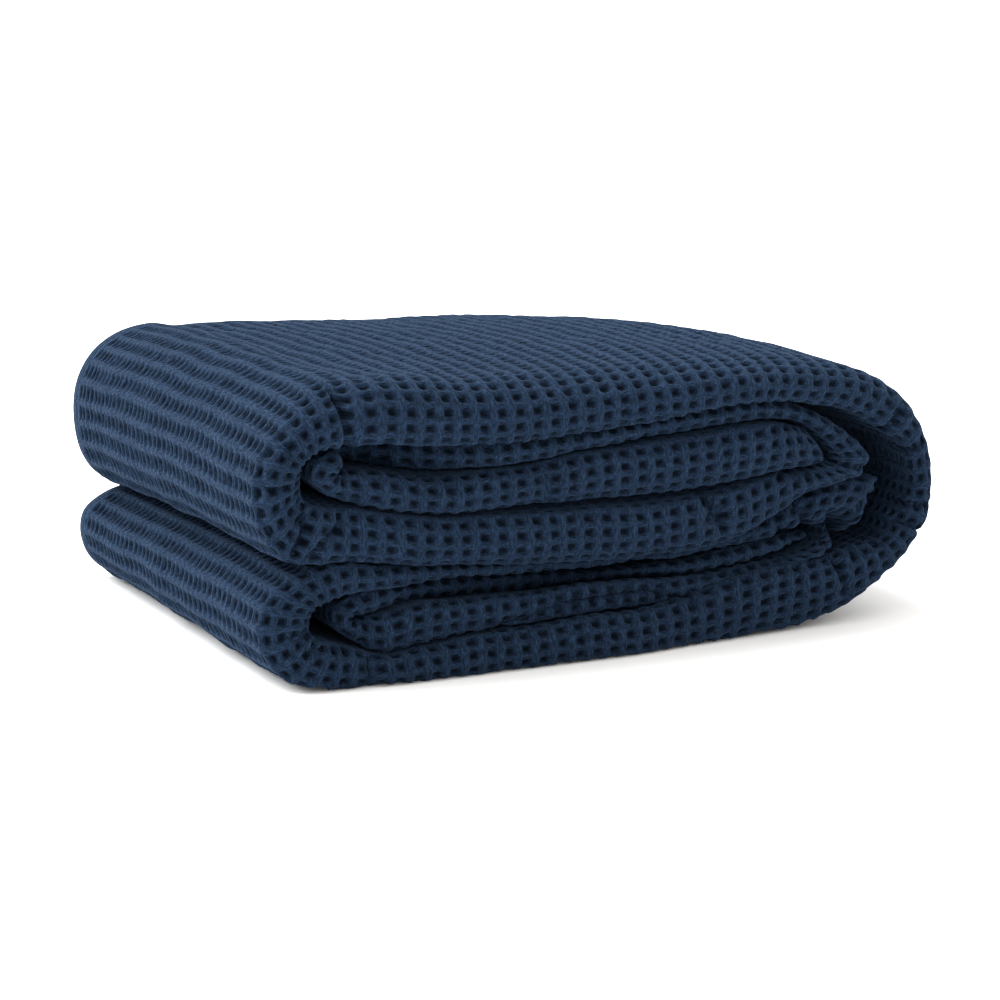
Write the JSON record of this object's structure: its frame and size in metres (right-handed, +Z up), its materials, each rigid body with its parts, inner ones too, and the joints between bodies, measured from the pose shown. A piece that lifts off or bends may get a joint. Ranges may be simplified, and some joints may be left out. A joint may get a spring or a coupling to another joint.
{
  "type": "folded waffle weave cotton blanket",
  "caption": "Bed blanket of thick waffle weave cotton, folded lengthwise and then back and forth into a soft layered pile that rests flat on a shelf or a bed.",
  "frame": {"origin": "centre of the pile's box, on the surface that it rests on", "axes": "+X along the long front, to the right as seen from the front; +Y from the rounded front spines to the back edges; +Z up"},
  "size_m": [0.3706, 0.2791, 0.1415],
  "materials": {
    "cotton": "matt navy cotton in a deep waffle weave, raised yarn ridges around sunken cells, slightly fuzzy"
  },
  "bodies": {
    "root": {"blanket": "cotton"}
  },
  "joints": []
}
